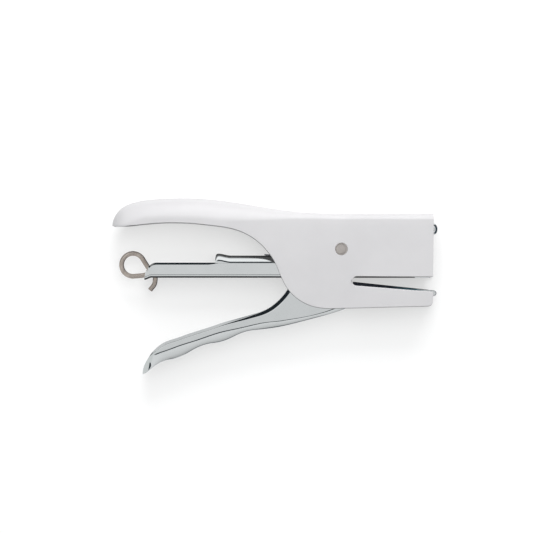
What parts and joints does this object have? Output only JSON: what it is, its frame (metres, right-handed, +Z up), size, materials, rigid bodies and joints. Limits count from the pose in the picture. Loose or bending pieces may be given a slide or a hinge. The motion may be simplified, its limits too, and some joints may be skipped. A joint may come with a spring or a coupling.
{
  "type": "plier stapler",
  "caption": "Hand-held plier stapler: painted steel handle and jaw, chromed squeeze lever, rear-loading staple magazine with a pull ring.",
  "frame": {"origin": "bottom centre of the bounding box, the tool lying on its side", "axes": "+X towards the mouth, +Y towards the top handle, +Z up across the tool's thickness"},
  "size_m": [0.1598, 0.0868, 0.018],
  "materials": {
    "paint": "satin",
    "chrome": "polished",
    "nickel": "satin",
    "nickel_wire": "satin",
    "rivet_steel": "satin",
    "zinc_steel": "satin",
    "spring_steel": "satin",
    "anvil_steel": "satin"
  },
  "bodies": {
    "body": {"body_shell": "paint", "main_pin": "rivet_steel", "pin_sleeve": "zinc_steel", "leaf_spring": "spring_steel", "jaw_bridge": "nickel", "anvil_plate": "anvil_steel", "anvil_rivets": "rivet_steel"},
    "lever": {"lever": "chrome", "nose_pin": "rivet_steel", "spring_bridge": "zinc_steel", "bridge_rivets": "rivet_steel"},
    "magazine": {"magazine_channel": "nickel", "magazine_cover": "nickel", "magazine_head": "nickel", "spring_cup": "zinc_steel", "coil_spring": "spring_steel"},
    "driver": {"hammer_block": "zinc_steel", "driver_blade": "anvil_steel", "driver_bracket": "zinc_steel", "hammer_rivet": "chrome"},
    "carriage": {"spring_seat": "zinc_steel", "pusher_spring": "spring_steel"},
    "rod": {"pull_ring_rod": "nickel_wire", "rod_collar": "zinc_steel", "rod_stop": "zinc_steel"},
    "pusher": {"pusher_head": "zinc_steel"}
  },
  "joints": [
    {"name": "lever_squeeze", "type": "hinge", "parent": "body", "child": "lever", "pos_m": [0.03243, 0.01865, 0.009], "axis": [0, 0, -1], "range_deg": [0, 17.81], "stiffness_Nm_per_rad": 1.5, "springref_deg": -11.46, "deforming": ["coil_spring"]},
    {"name": "magazine_tilt", "type": "hinge", "parent": "body", "child": "magazine", "pos_m": [0.03243, 0.01865, 0.009], "axis": [0, 0, -1], "range_deg": [0, 7], "deforming": ["leaf_spring"]},
    {"name": "driver_slide", "type": "slide", "parent": "magazine", "child": "driver", "axis": [0, -1, 0], "range_m": [0, 0.0069]},
    {"name": "rod_withdraw", "type": "slide", "parent": "magazine", "child": "carriage", "axis": [-1, 0, 0], "range_m": [0, 0.14]},
    {"name": "latch_twist", "type": "hinge", "parent": "carriage", "child": "rod", "pos_m": [-0.05758, 0.00845, 0.009], "axis": [-1, 0, 0], "range_deg": [0, 38]},
    {"name": "pusher_slide", "type": "slide", "parent": "carriage", "child": "pusher", "axis": [-1, 0, 0], "range_m": [0, 0.06], "stiffness_N_per_m": 60, "springref_m": -0.04, "deforming": ["pusher_spring"]}
  ],
  "couplings": [
    {"joint": "magazine_tilt", "follows": "lever_squeeze", "ratio": 0.39313},
    {"joint": "driver_slide", "follows": "lever_squeeze", "m_per_rad": 0.022203}
  ]
}
